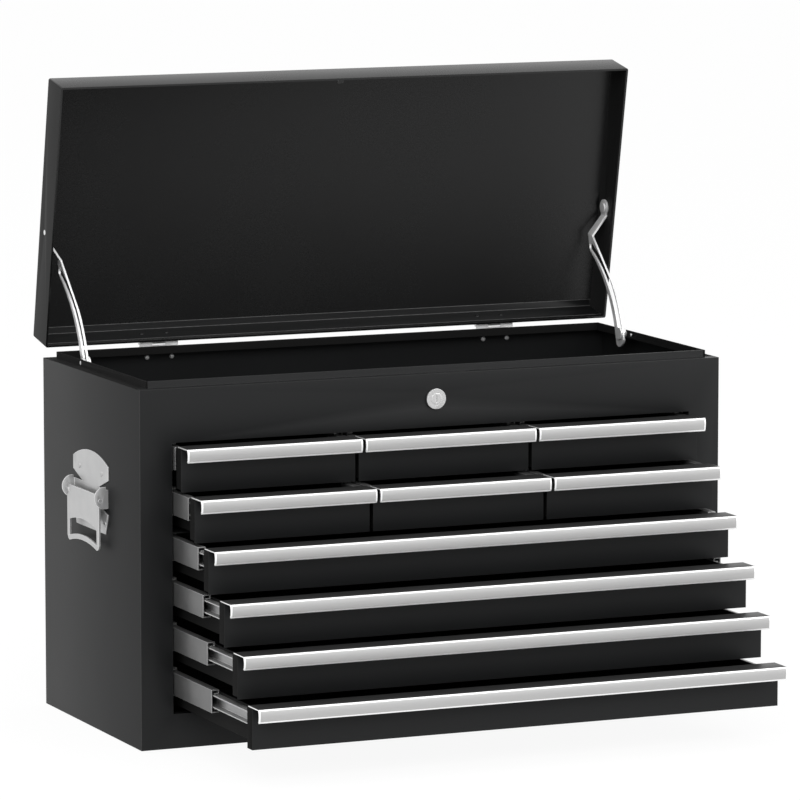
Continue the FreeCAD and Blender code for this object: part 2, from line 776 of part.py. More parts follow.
def hinge_leaf(body, middle, outer):
    """One leaf with its knuckles. outer: the two end knuckles, below; else the middle one."""
    radius, sheet = S["knuckle_radius"], S["leaf_sheet"]
    third = S["hinge_length"] / 3
    half = S["hinge_length"] / 2
    gap = S["knuckle_clearance"] / 2
    face = half_depth - hinge_y
    clear = radius + S["leaf_clearance"]
    if outer:
        low, high, spans = -S["leaf_height"], -clear, ((-half, -third / 2 - gap), (third / 2 + gap, half))
    else:
        low, high, spans = clear, S["leaf_height"], ((-third / 2 + gap, third / 2 - gap),)
    slab(body, "YZ", [box_loop(face, face + sheet, low, high)], middle - half, middle + half)
    ring = disc(0, 0, radius)
    near = box_loop(face, face + sheet, high, 0) if outer else box_loop(face, face + sheet, 0, low)
    bore = disc(0, 0, S["hinge_pin_radius"] + S["hinge_pin_clearance"])
    for start, stop in spans:
        slab(body, "YZ", [near], middle + start, middle + stop)
        slab(body, "YZ", [ring], middle + start, middle + stop)
        cut(body, "YZ", [bore], middle + start, middle + stop)


def hinge_case_leaves():
    body = new_body("hinge_case_leaves")
    for side in (-1, 1):
        hinge_leaf(body, side * S["hinge_offset"], True)
    place(body, 0, hinge_y, hinge_z)
    return body


def hinge_lid_leaves():
    body = new_body("hinge_lid_leaves")
    for side in (-1, 1):
        hinge_leaf(body, side * S["hinge_offset"], False)
    place_on_hinge(body)
    return body


def hinge_pins():
    body = new_body("hinge_pins")
    for side in (-1, 1):
        middle = side * S["hinge_offset"]
        half = S["hinge_length"] / 2
        slab(body, "YZ", [disc(0, 0, S["hinge_pin_radius"])], middle - half, middle + half)
    place(body, 0, hinge_y, hinge_z)
    return body


def turned(point, angle):
    """Point of the y-z plane turned clockwise, which is how the lid opens."""
    y, z = point
    return y * cosine(angle) + z * sine(angle), z * cosine(angle) - y * sine(angle)


def stay_path(name, opened):
    """Place of the stud in the open stay's frame, when the lid is opened by a part of its angle.

    The stay turns a little less than the lid does, so its tail stays clear of the back wall."""
    angle = S["lid_open_angle"] * opened
    pivot = turned((-S["stay_pivot_reach"], S["stay_pivot_height"]), angle)
    reach = (-S["stud_back"] - pivot[0], stud_height - hinge_z - pivot[1])
    y, z = turned(reach, (S["lid_open_angle"] - S["stay_turn"]) * (1 - opened))
    return keep(name + "_y", y), keep(name + "_z", z)


def circle_through(a, b, c):
    """Middle and radius of the circle through three points of the y-z plane."""
    squares = [point[0] * point[0] + point[1] * point[1] for point in (a, b, c)]
    twice = 2 * (a[0] * (b[1] - c[1]) + b[0] * (c[1] - a[1]) + c[0] * (a[1] - b[1]))
    y = (squares[0] * (b[1] - c[1]) + squares[1] * (c[1] - a[1]) + squares[2] * (a[1] - b[1])) / twice
    z = (squares[0] * (c[0] - b[0]) + squares[1] * (a[0] - c[0]) + squares[2] * (b[0] - a[0])) / twice
    y, z = keep("stay_arc_y", y), keep("stay_arc_z", z)
    radius = root((a[0] - y) * (a[0] - y) + (a[1] - z) * (a[1] - z))
    return (y, z), keep("stay_arc_radius", radius)


closed_stud = stay_path("closed_stud", 0.0)
middle_stud = stay_path("middle_stud", 0.5)
open_stud = stay_path("open_stud", 1.0)
arc_middle, arc_radius = circle_through(closed_stud, middle_stud, open_stud)


def beside_path(stud, off):
    """Point square off the slot's middle line, on the far side of its centre for a positive off."""
    share = (arc_radius + off) / arc_radius
    return (arc_middle[0] + (stud[0] - arc_middle[0]) * share,
            arc_middle[1] + (stud[1] - arc_middle[1]) * share)


def beyond_path(point, length):
    """The point moved on along the path, at its lower end."""
    y = (arc_middle[1] - open_stud[1]) / arc_radius * length
    z = (open_stud[0] - arc_middle[0]) / arc_radius * length
    return point[0] + y, point[1] + z


def lid_stay(name, side):
    """Slotted lid stay: an eye riveted to the lid, a joggled neck and a blade with a curved slot.

    The slot is the arc through the stud's places at the closed, half open and open lid."""
    body = new_body(name)
    half = S["stay_sheet"] / 2
    eye_out = inner_side - S["stay_side_gap"]
    eye_in = eye_out - S["stay_sheet"]
    blade_in, blade_out = stay_plane - half, stay_plane + half
    slot = S["stud_radius"] + S["stay_slot_clearance"]
    wall = slot + S["stay_wall"]
    rear_wall = S["stay_width"] - wall
    neck = S["stay_neck_width"] / 2
    start, end = S["stay_neck_start"], S["stay_neck_end"]
    front_middle = beside_path(middle_stud, wall)
    front_low = beside_path(open_stud, wall)
    rear_low = beside_path(open_stud, -rear_wall)
    blade = [(-neck, -end),
             front_middle + (-(arc_radius + wall),),
             front_low,
             beyond_path(front_low, S["stay_end"]) + (-S["stay_end_radius"],),
             beyond_path(rear_low, S["stay_end"]),
             rear_low + (arc_radius - S["stay_width"] / 2,),
             beside_path(closed_stud, -wall),
             (neck, -end)]
    outward(body, side, [blade], blade_in, blade_out)
    slope = S["stay_sheet"] * 0.4
    section = [(eye_out, 0), (eye_out, -start), (blade_out, -end), (blade_out, -end - S["stay_wall"]),
               (blade_in, -end - S["stay_wall"]), (blade_in, slope - end), (eye_in, slope - start),
               (eye_in, 0)]
    slab(body, "XZ", [[(x * side, z) for x, z in section]], -neck, neck)
    outward(body, side, [disc(0, 0, S["stay_eye_radius"])], eye_in, eye_out)
    outward(body, side, [disc(0, 0, S["stay_rivet_head"])], eye_in - S["stay_rivet_height"], eye_in)
    # the rivet is flush with the outside of the lid
    outward(body, side, [disc(0, 0, S["stay_rivet_radius"])], eye_out, half_width)
    ends = (blade_in, blade_out) if side > 0 else (-blade_out, -blade_in)
    band = [beside_path(closed_stud, slot) + (-(arc_radius + slot),), beside_path(open_stud, slot),
            beside_path(open_stud, -slot) + (arc_radius - slot,), beside_path(closed_stud, -slot)]
    cut(body, "YZ", [band], ends[0], ends[1])
    for stud in (closed_stud, open_stud):
        cut(body, "YZ", [disc(stud[0], stud[1], slot)], ends[0], ends[1])
    pivot = turned((-S["stay_pivot_reach"], S["stay_pivot_height"]), S["lid_open_angle"])
    place(body, 0, hinge_y + pivot[0], hinge_z + pivot[1])
    return body


def stay_studs():
    """Headed studs on which the stays run; their tails are riveted flush in the lip."""
    body = new_body("stay_studs")
    half = S["stay_sheet"] / 2
    head = stay_plane - half - S["stud_gap"]
    shoulder = stay_plane + half + S["stud_gap"]
    steps = ((head - S["stud_head_height"], head, S["stud_head_radius"]),
             (head, shoulder, S["stud_radius"]),
             (shoulder, lip_inner_x, S["stud_shoulder_radius"]),
             (lip_inner_x, lip_outer_x, S["stud_tail_radius"]))
    for side in (-1, 1):
        for near, far, radius in steps:
            outward(body, side, [disc(0, 0, radius)], near, far)
    place(body, 0, hinge_y - S["stud_back"], stud_height)
    return body


def handle_plates():
    """Stamped side plates: an arched head, a waist, lower wings and two bored ears for the bail."""
    body = new_body("handle_plates")
    head, waist = S["handle_plate_width"] / 2, S["handle_waist_width"] / 2
    wing, foot = S["handle_wing_width"] / 2, S["handle_foot_width"] / 2
    ear_in = S["bail_width"] / 2 + S["ear_gap"]
    ear_out = ear_in + S["ear_sheet"]
    edge = [(head, S["handle_shoulder"]), (head, S["handle_cheek"]), (waist, S["handle_strap_top"]),
            (ear_out, S["handle_strap_top"]), (ear_out, -S["handle_strap_foot"]),
            (waist, -S["handle_strap_foot"]), (wing, -S["handle_wing_top"]),
            (foot, -S["handle_plate_drop"])]
    plate = edge + [(-y, z) for y, z in reversed(edge)]
    plate[-1] = plate[-1] + (S["handle_plate_radius"],)
    near = half_width + S["handle_sheet"]
    straight = near + S["ear_straight"]
    axis = half_width + S["handle_stand_off"]
    bore = S["bail_pin_radius"] + S["bail_pin_clearance"]
    for side in (-1, 1):
        outward(body, side, [plate], half_width, near)
        ear = [(near * side, -S["handle_strap_foot"]),
               (straight * side, -S["handle_strap_foot"], S["ear_radius"] * -side),
               (straight * side, S["ear_rise"]),
               ((near + S["handle_sheet"]) * side, S["ear_rise"]),
               ((near + S["handle_sheet"]) * side, S["handle_strap_top"]),
               (near * side, S["handle_strap_top"])]
        for low, high in ((ear_in, ear_out), (-ear_out, -ear_in)):
            slab(body, "XZ", [ear], low, high)
            cut(body, "XZ", [disc(axis * side, 0, bore)], low, high)
    place(body, 0, S["handle_back"], S["handle_height"])
    return body


def handle_bail(name, side):
    """Bail: a stamped plate with a grip window, a bowed bar along its foot and a pin at each end."""
    body = new_body(name)
    half, sheet = S["bail_width"] / 2, S["bail_sheet"] / 2
    foot, corner, bow = -S["bail_drop"], S["bail_corner"], S["bail_bow_radius"]
    plate = [(-half, S["bail_top"]), (-half, foot + corner, -corner), (corner - half, foot, bow),
             (half - corner, foot, -corner), (half, foot + corner), (half, S["bail_top"])]
    arm = half - S["bail_arm"]
    window = [(-arm, foot + S["bail_bar"], bow), (arm, foot + S["bail_bar"]),
              (arm, -S["bail_web"], -bow), (-arm, -S["bail_web"])]
    slab(body, "YZ", [plate, window], -sheet, sheet)
    pin = disc(0, 0, S["bail_pin_radius"])
    slab(body, "XZ", [pin], -half - S["bail_pin_length"], -arm)
    slab(body, "XZ", [pin], arm, half + S["bail_pin_length"])
    place(body, side * (half_width + S["handle_stand_off"]), S["handle_back"], S["handle_height"])
    return body


def lock_barrel():
    """Lock body through the front with its round face and its hexagonal nut."""
    body = new_body("lock_barrel")
    bore = disc(0, 0, S["lock_plug_radius"] + S["lock_plug_clearance"])
    steps = ((-S["lock_face_height"], 0, S["lock_face_radius"]),
             (0, S["lock_body_length"], S["lock_body_radius"]))
    for low, high, radius in steps:
        slab(body, "XZ", [disc(0, 0, radius), bore], low, high)
    corner = S["lock_nut_radius"]
    rise = corner * sine(as_size(60))
    nut = [(corner, 0), (corner / 2, rise), (-corner / 2, rise),
           (-corner, 0), (-corner / 2, -rise), (corner / 2, -rise)]
    slab(body, "XZ", [nut, bore], S["case_sheet"], S["case_sheet"] + S["lock_nut_height"])
    place(body, 0, -half_depth, lock_height)
    return body


def lock_plug():
    """Plug with a keyway, and the hooked cam on its inner end; the cam lies flat when unlocked."""
    body = new_body("lock_plug")
    front = -S["lock_face_height"] - S["lock_plug_stand"]
    back = S["lock_body_length"] + S["cam_gap"]
    slab(body, "XZ", [disc(0, 0, S["lock_plug_radius"])], front, back)
    half, tip = S["cam_width"] / 2, cam_reach
    cam = [(-half, -half), (tip, -half), (tip, half + S["cam_finger"]),
           (tip - S["cam_finger_width"], half + S["cam_finger"]), (tip - S["cam_finger_width"], half),
           (-half, half)]
    slab(body, "XZ", [cam], back, back + S["cam_sheet"])
    key, rise = S["keyway_width"] / 2, S["keyway_height"] / 2
    cut(body, "XZ", [box_loop(-key, key, -rise, rise)], front, front + S["keyway_depth"])
    place(body, 0, -half_depth, lock_height)
    return body


def main():
    parts = [case_body(), front_frame(), base_pan(), compartment_floor(), side_liners(),
             drawer_dividers(), fixed_slide_rails()]
    parts += drawers()
    parts += [lid_shell(), lid_reinforcements(), hinge_case_leaves(), hinge_lid_leaves(), hinge_pins(),
              stay_studs(), lid_stay("left_lid_stay", -1), lid_stay("right_lid_stay", 1),
              handle_plates(), handle_bail("left_handle_bail", -1), handle_bail("right_handle_bail", 1),
              lock_barrel(), lock_plug()]
    doc.recompute()
    for thing in doc.Objects:
        for bad in ("Invalid", "Error"):
            if bad in thing.State:
                raise ValueError("%s is %s" % (thing.Label, bad))
    for part in parts:
        if part.Shape.isNull() or not part.Shape.isValid():
            raise ValueError("%s has no valid shape" % part.Label)
    os.makedirs("parts", exist_ok=True)
    for part in parts:
        part.Shape.exportStep("parts/%s.step" % part.Label)
    print(len(parts), "sub-parts")


main()
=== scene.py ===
import json
import math

import bmesh
import bpy
from mathutils import Matrix, Vector


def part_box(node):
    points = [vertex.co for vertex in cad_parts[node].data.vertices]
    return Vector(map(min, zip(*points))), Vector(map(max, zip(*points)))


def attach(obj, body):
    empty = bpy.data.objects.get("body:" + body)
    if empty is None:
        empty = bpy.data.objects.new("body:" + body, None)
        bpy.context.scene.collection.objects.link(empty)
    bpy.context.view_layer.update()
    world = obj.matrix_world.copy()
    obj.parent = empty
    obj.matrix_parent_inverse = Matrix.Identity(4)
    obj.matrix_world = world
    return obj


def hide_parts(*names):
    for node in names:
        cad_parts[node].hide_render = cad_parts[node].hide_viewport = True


# Machinist tool chest: black powder coated sheet steel, satin aluminium drawer pulls, zinc plated slides,
# stays, handles and lock. All lengths are in metres. X to the right, Y to the back, Z up.

MM = 0.001

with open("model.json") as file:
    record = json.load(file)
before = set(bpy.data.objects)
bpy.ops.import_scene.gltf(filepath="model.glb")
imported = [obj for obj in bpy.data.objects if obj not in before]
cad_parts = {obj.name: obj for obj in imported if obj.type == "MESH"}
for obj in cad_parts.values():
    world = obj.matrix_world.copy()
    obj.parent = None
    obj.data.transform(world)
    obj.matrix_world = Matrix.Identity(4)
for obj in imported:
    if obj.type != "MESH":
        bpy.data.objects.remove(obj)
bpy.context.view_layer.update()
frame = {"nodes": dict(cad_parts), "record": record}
nodes = frame["nodes"]
SLOT_OF = {part["node"]: part["material_slot"] for part in frame["record"]["subparts"]}
BODY_OF = {word: body for body, words in frame["record"]["behaviour"]["bodies"].items()
           for word in words}


# finishes

class Value:
    """A node's output. Sums and products of values add the Math nodes that work them out."""

    def __init__(self, finish, socket):
        self.finish = finish
        self.socket = socket

    def math(self, operation, *terms):
        return self.finish.node("ShaderNodeMath", {"operation": operation}, dict(enumerate(terms)))

    def __add__(self, other):
        return self.math("ADD", self, other)

    def __radd__(self, other):
        return self.math("ADD", other, self)

    def __sub__(self, other):
        return self.math("SUBTRACT", self, other)

    def __rsub__(self, other):
        return self.math("SUBTRACT", other, self)

    def __mul__(self, other):
        return self.math("MULTIPLY", self, other)

    def __rmul__(self, other):
        return self.math("MULTIPLY", other, self)


class Finish:
    """A procedural material with one Principled shader."""

    def __init__(self, word, **constants):
        self.material = bpy.data.materials.new(word)
        self.material.use_nodes = True
        self.tree = self.material.node_tree
        self.tree.nodes.clear()
        self.shader = self.tree.nodes.new("ShaderNodeBsdfPrincipled")
        output = self.tree.nodes.new("ShaderNodeOutputMaterial")
        self.tree.links.new(self.shader.outputs[0], output.inputs["Surface"])
        for socket, value in constants.items():
            self.shader.inputs[socket.replace("_", " ")].default_value = value
        self.place = self.node("ShaderNodeTexCoord", {}, {}, "Object")

    def node(self, kind, settings, inputs, output=0):
        """Adds a node: its settings first, then the values or links of its sockets."""
        made = self.tree.nodes.new(kind)
        for word, value in settings.items():
            setattr(made, word, value)
        for socket, value in inputs.items():
            if isinstance(value, Value):
                self.tree.links.new(value.socket, made.inputs[socket])
            else:
                made.inputs[socket].default_value = value
        return Value(self, made.outputs[output])

    def noise(self, size, detail, stretch=(1, 1, 1)):
        """Noise whose patches are about the given size, drawn out by stretch along each axis."""
        scale = [1 / (size * part) for part in stretch]
        spot = self.node("ShaderNodeMapping", {}, {"Vector": self.place, "Scale": scale})
        return self.node("ShaderNodeTexNoise", {}, {"Vector": spot, "Scale": 1.0, "Detail": detail}, "Fac")

    def ramp(self, value, low, high):
        """0 below low, 1 above high, and a straight rise between them."""
        return self.node("ShaderNodeMapRange", {}, {"Value": value, "From Min": low, "From Max": high})

    def mark(self, word):
        """The piece's own face mark, such as the one on its rounded edges."""
        return self.node("ShaderNodeAttribute", {"attribute_name": word}, {}, "Fac")

    def mixed(self, share, first, second):
        return self.node("ShaderNodeMix", {"data_type": "RGBA"}, {0: share, 6: first, 7: second}, 2)

    def bump(self, height, depth, strength):
        return self.node("ShaderNodeBump", {}, {"Strength": strength, "Distance": depth, "Height": height})

    def feed(self, socket, value):
        self.tree.links.new(value.socket, self.shader.inputs[socket])


def grey(level, warmth=0.0):
    return (level * (1 + warmth), level, level * (1 - warmth), 1)


# colour of the faces that get painted shade, and the roughness they gain
PAINTED_SHADE_LEVEL = 0.003
PAINTED_SHADE_ROUGHNESS = 0.45


def powder_coat(word, level, edge_level, rough, gloss):
    """Black powder coat: a fine orange peel, faint cloudiness, and edges lighter in specks, partly rubbing
    and partly a painted highlight.

    Faces with the painted shade mark get painted shade: they are darker, and rougher too."""
    finish = Finish(word, Specular_IOR_Level=gloss)
    cloud = finish.noise(120 * MM, 3)
    peel = finish.noise(1.1 * MM, 2)
    speck = finish.noise(3.5 * MM, 4)
    edge = finish.mark("edge")
    dull = finish.mark("dull")
    body = finish.mixed(cloud, grey(level * 0.86, -0.03), grey(level * 1.14, -0.05))
    # edges lighter in specks: a little rubbing, and a painted highlight
    wear_and_highlight = finish.ramp(edge * (0.55 + speck), 0.55, 1.15)
    coated = finish.mixed(wear_and_highlight, body, grey(edge_level))
    # painted shade: the marked faces turn nearly black
    finish.feed("Base Color", finish.mixed(dull, coated, grey(PAINTED_SHADE_LEVEL)))
    finish.feed("Roughness", (rough - 0.06) + cloud * 0.08 + peel * 0.05 + dull * PAINTED_SHADE_ROUGHNESS)
    finish.feed("Normal", finish.bump(peel + speck * 0.4, depth=0.06 * MM, strength=0.5))
    return finish.material


def satin_aluminium():
    """Aluminium strip with long brush lines, a near-white painted highlight on its border, and painted
    shade on its back.
    """
    finish = Finish("satin_aluminium", Metallic=0.5)
    lines = finish.noise(0.35 * MM, 3, (160, 1, 1))
    cloud = finish.noise(50 * MM, 2, (3, 1, 1))
    border = finish.mark("edge")
    back = finish.mark("back")
    body = finish.mixed(lines, grey(0.42), grey(0.5))
    body = finish.mixed(cloud * 0.5, body, grey(0.46, 0.012))
    # painted highlight: the border faces turn near white
    body = finish.mixed(border, body, grey(0.98))
    # painted shade: the strip's back turns nearly black
    finish.feed("Base Color", finish.mixed(back, body, grey(0.03)))
    finish.feed("Roughness", 0.46 + lines * 0.14 - border * 0.1)
    finish.feed("Normal", finish.bump(lines, depth=0.02 * MM, strength=0.5))
    return finish.material


def zinc(word, level, edge_level, rough, metal):
    """Bright zinc plate: cloudy, with the faint drawing lines of the sheet, and edges painted lighter as a
    painted highlight.
    """
    finish = Finish(word, Metallic=metal)
    cloud = finish.noise(18 * MM, 4)
    lines = finish.noise(0.7 * MM, 3, (1, 26, 1))
    pits = finish.noise(1.2 * MM, 2)
    edge = finish.mark("edge")
    body = finish.mixed(cloud, grey(level * 0.84, -0.01), grey(level * 1.12, 0.005))
    # painted highlight: the rounded edges turn lighter, near white for the brightest parts
    finish.feed("Base Color", finish.mixed(edge, body, grey(edge_level)))
    finish.feed("Roughness", (rough - 0.08) + cloud * 0.14 + lines * 0.06)
    finish.feed("Normal", finish.bump(lines + pits * 0.5, depth=0.03 * MM, strength=0.4))
    return finish.material


# by the record's slots, and a coat for the lid's angle: a lighter copy of the lid's paint whose folds
# carry a bright painted highlight
FINISHES = {
    "case_paint": powder_coat("case_coat", level=0.011, edge_level=0.028, rough=0.44, gloss=0.21),
    "lid_paint": powder_coat("lid_coat", level=0.0025, edge_level=0.03, rough=0.26, gloss=0.44),
    "fold_paint": powder_coat("fold_coat", level=0.006, edge_level=0.1, rough=0.3, gloss=0.44),
    "inner_paint": powder_coat("inner_coat", level=0.008, edge_level=0.018, rough=0.5, gloss=0.14),
    "drawer_paint": powder_coat("drawer_coat", level=0.0105, edge_level=0.025, rough=0.45, gloss=0.19),
    "trim_aluminium": satin_aluminium(),
    "slide_steel": zinc("slide_zinc", level=0.2, edge_level=0.5, rough=0.42, metal=0.82),
    # a lighter copy of the slide zinc: painted light that offsets the shade inside the runners' channels
    "runner_steel": zinc("runner_zinc", level=0.42, edge_level=0.75, rough=0.42, metal=0.82),
    "stay_steel": zinc("stay_zinc", level=0.8, edge_level=1.0, rough=0.3, metal=0.45),
    "plated_steel": zinc("rivet_zinc", level=0.8, edge_level=1.0, rough=0.3, metal=0.4),
    "handle_chrome": zinc("handle_plating", level=0.5, edge_level=1.0, rough=0.3, metal=0.5),
    "lock_chrome": zinc("lock_plating", level=0.55, edge_level=1.0, rough=0.25, metal=0.6),
}


# pieces

WELD_DISTANCE = 0.002 * MM
THINNEST = 0.001 * MM
FLAT_TURN = math.radians(0.4)
SHADED_TURN = math.radians(28)


def finished(form, word, slot, body, stands_for=(), finish=None):
    """Turns a bmesh into a piece that wears its slot's finish, or another, and rides on its body."""
    bmesh.ops.dissolve_degenerate(form, dist=THINNEST, edges=form.edges)
    mesh = bpy.data.meshes.new(word)
    form.to_mesh(mesh)
    form.free()
    for polygon in mesh.polygons:
        polygon.use_smooth = True
    mesh.set_sharp_from_angle(angle=SHADED_TURN)
    mesh.materials.append(FINISHES[finish or slot])
    piece = bpy.data.objects.new(word, mesh)
    bpy.context.scene.collection.objects.link(piece)
    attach(piece, body)
    if stands_for:
        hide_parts(*stands_for)
    return piece


def in_place_of(word, form, ending="_eased", finish=None):
    """Finishes the reshaped copy of a CAD node, which takes the node's place."""
    return finished(form, word + ending, SLOT_OF[word], BODY_OF[word], [word], finish)


def welded(word):
    """Bmesh copy of a CAD node with its loose triangles joined into flat faces."""
    form = bmesh.new()
    form.from_mesh(nodes[word].data)
    bmesh.ops.remove_doubles(form, verts=form.verts, dist=WELD_DISTANCE)
    bmesh.ops.dissolve_limit(form, angle_limit=FLAT_TURN, verts=form.verts, edges=form.edges,
                             use_dissolve_boundaries=False)
    return form


def face_mark(form, word):
    """The number that each face carries under this name, for the finishes to read."""
    layers = form.faces.layers.float
    return layers.get(word) or layers.new(word)


def cut(form, point, way, **options):
    """Cuts the faces along the plane through point that is square to way."""
    everything = form.verts[:] + form.edges[:] + form.faces[:]
    bmesh.ops.bisect_plane(form, geom=everything, plane_co=point, plane_no=way, **options)


def round_edges(form, width, turn=40):
    """Rounds the edges that turn by more than so many degrees, and marks the new faces as edges."""
    layer = face_mark(form, "edge")
    sharp = [edge for edge in form.edges
             if len(edge.link_faces) == 2 and edge.calc_face_angle(0) > math.radians(turn)]
    made = bmesh.ops.bevel(form, geom=sharp, offset=width, offset_type="OFFSET", affect="EDGES",
                           segments=2, profile=0.5, material=-1, clamp_overlap=True)
    for face in made["faces"]:
        face[layer] = 1.0
    return form


def paint_shade_where(form, test, share):
    """Paints shade on the coated faces that the test picks, with the given share: they turn darker and
    rougher.
    """
    layer = face_mark(form, "dull")
    for face in form.faces:
        if test(face):
            face[layer] = share


SIDEWAYS = 0.7


def faces_sideways(face):
    return abs(face.normal.x) > SIDEWAYS


def lowered(form, y_high, z_high, drop):
    """Moves the vertices in front of y_high and below z_high down, which lengthens a sheet's foot."""
    verts = [vert for vert in form.verts if vert.co.y < y_high and vert.co.z < z_high]
    bmesh.ops.translate(form, vec=(0, 0, -drop), verts=verts)
    return form


def eased_piece(word, width):
    """A plain piece with its edges eased."""
    return in_place_of(word, round_edges(welded(word), width))


TRAY_EDGE = 0.28 * MM
# the cuts just behind a drawer's front sheet, a depth between them, and the height of what moves down
SKIRT_CUTS = (0.87 * MM, 0.97 * MM)
SKIRT_DEPTH = 0.92 * MM
SKIRT_HEIGHT = 0.4 * MM


def drawer_box(word, skirt):
    """Drawer whose front sheet hangs lower by the skirt, close to the next trim, with painted shade on its
    sides.
    """
    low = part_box(word)[0]
    form = round_edges(welded(word), TRAY_EDGE)
    if skirt:
        for depth in SKIRT_CUTS:
            cut(form, (0, low.y + depth, 0), (0, 1, 0))
        lowered(form, low.y + SKIRT_DEPTH, low.z + SKIRT_HEIGHT, skirt)
    # painted shade on the tray's sideways faces
    paint_shade_where(form, faces_sideways, 1.0)
    return in_place_of(word, form)


# the middle line of the stays' slot, seen from the side, with the lid open
STAY_ARC = Vector((0, 185.155, 301.054)) * MM
STAY_RADIUS = 137.761 * MM
# the slot's own strip stays, and what lies beyond it comes in by this share, up to the top of the blade
STAY_STRIP = 3.7 * MM
STAY_SHARE = 0.42
STAY_BLADE_TOP = 446 * MM
STAY_EDGE = 0.4 * MM


def lid_stay(word):
    """Stay whose blade is drawn in towards its curved slot, as narrow as the strip of the real one."""
    form = welded(word)
    for vert in form.verts:
        arm = Vector((0, vert.co.y, vert.co.z)) - STAY_ARC
        off = arm.length - STAY_RADIUS
        beyond = abs(off) - STAY_STRIP
        if beyond > 0 and vert.co.z < STAY_BLADE_TOP:
            pull = math.copysign(beyond * STAY_SHARE, off)
            vert.co -= arm.normalized() * pull
    return in_place_of(word, round_edges(form, STAY_EDGE))


def bright_border(form, low, high, width):
    """Marks a border of the given width inside the box that low and high span in x and z."""
    layer = face_mark(form, "edge")
    left, bottom = low[0] + width, low[1] + width
    right, top = high[0] - width, high[1] - width
    for spot, way in ((left, (1, 0, 0)), (right, (1, 0, 0)), (bottom, (0, 0, 1)), (top, (0, 0, 1))):
        cut(form, Vector(way) * spot, way)
    for face in form.faces:
        middle = face.calc_center_median()
        if not (left < middle.x < right and bottom < middle.z < top):
            face[layer] = 1.0


PULL_EDGE = 0.35 * MM
PULL_TURN = 50
PULL_BORDER = 1.5 * MM
# how much taller the strip's face gets, and the depth and height of the lower rim that moves for it
PULL_DROP = 1.3 * MM
PULL_RIM_DEPTH = 2 * MM
PULL_RIM_HEIGHT = 3 * MM
# the strip's back is what points neither further forward nor further sideways than this
PULL_FORWARD = -0.35
PULL_SIDEWAYS = 0.5


def drawer_pull(word):
    """Aluminium strip on a drawer front, with a taller face and a painted highlight on a border round it.

    Only the face shows the brushed metal; the strip's flat top and inside are its back, which gets painted
    shade."""
    low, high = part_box(word)
    form = lowered(welded(word), low.y + PULL_RIM_DEPTH, low.z + PULL_RIM_HEIGHT, PULL_DROP)
    low.z -= PULL_DROP
    round_edges(form, PULL_EDGE, PULL_TURN)
    # the border that the finish paints as a highlight
    bright_border(form, (low.x, low.z), (high.x, high.z), PULL_BORDER)
    # the back faces, which the finish paints in shade
    back = face_mark(form, "back")
    for face in form.faces:
        if face.normal.y > PULL_FORWARD and abs(face.normal.x) < PULL_SIDEWAYS:
            face[back] = 1.0
    return in_place_of(word, form, "_strip")


SHEET_EDGE = 0.3 * MM
SLIDE_EDGE = 0.25 * MM
DRAWERS = 10
# for all drawers but the lowest, which has no trim below it
SKIRT = 2.3 * MM

for word in ("front_frame", "base_pan", "compartment_floor", "side_liners", "drawer_dividers"):
    eased_piece(word, SHEET_EDGE)
for number in range(1, DRAWERS + 1):
    drawer = "drawer_%02d" % number
    drawer_box(drawer + "_tray", SKIRT if number < DRAWERS else 0)
    eased_piece(drawer + "_runners", SLIDE_EDGE)
    eased_piece(drawer + "_slide_middles", SLIDE_EDGE)
    drawer_pull(drawer + "_trim")
eased_piece("fixed_slide_rails", SLIDE_EDGE)

SHELL_EDGE = 0.27 * MM
# shares of painted shade on the sideways faces of the case and lid
SIDE_PAINTED_SHADE = {"case_body": 0.22, "lid_shell": 0.9}
# the case's shelf and lip, on which the closed lid rests, lie above this height; they get painted shade
CASE_RIM = 338.5 * MM

for word, share in SIDE_PAINTED_SHADE.items():
    form = round_edges(welded(word), SHELL_EDGE)
    # painted shade on the sideways faces
    paint_shade_where(form, faces_sideways, share)
    if word == "case_body":
        # painted shade on the case's shelf and lip
        paint_shade_where(form, lambda face: face.calc_center_median().z > CASE_RIM, 1.0)
    in_place_of(word, form)

PRESSED_EDGE = 0.45 * MM
BAIL_EDGE = 0.8 * MM
STUD_EDGE = 0.4 * MM
LEAF_EDGE = 0.2 * MM

# the lid's angle wears the lighter coat with the painted highlight on its folds
in_place_of("lid_reinforcements", round_edges(welded("lid_reinforcements"), PRESSED_EDGE),
            finish="fold_paint")
eased_piece("handle_plates", PRESSED_EDGE)
for side in ("left", "right"):
    eased_piece(side + "_handle_bail", BAIL_EDGE)
    lid_stay(side + "_lid_stay")
for word in ("stay_studs", "lock_barrel"):
    eased_piece(word, STUD_EDGE)
for word in ("lock_plug", "hinge_case_leaves", "hinge_lid_leaves"):
    eased_piece(word, LEAF_EDGE)

# the CAD nodes that no copy replaces
for word, node in nodes.items():
    if not node.hide_render:
        node.data.materials.clear()
        node.data.materials.append(FINISHES[SLOT_OF[word]])


# rivets

RIVET_WELD = 0.01 * MM
HINGE = Vector((0, 132.7, 349.4)) * MM
OPEN_TURN = Matrix.Rotation(math.radians(-79), 3, "X")
# in millimetres, as all places below
HINGE_PLACE = 180
RIVET_STEP = 13
HINGE_RIVETS = [side * HINGE_PLACE + step for side in (-1, 1) for step in (-RIVET_STEP, RIVET_STEP)]
BACK_INSIDE, BACK_OUTSIDE, BACK_RIVET_HEIGHT = 129, 131.2, 334.8
LID_INSIDE, LID_OUTSIDE, LID_RIVET_RISE = -4.7, -1.5, 12
HANDLE_FACE, HANDLE_MIDDLE = 301.2, (-1.5, 225)
HANDLE_RIVETS = ((-30, 24), (30, 24), (-38, -23), (38, -23))
LIP_RIVET = (288, 39.5, 343)


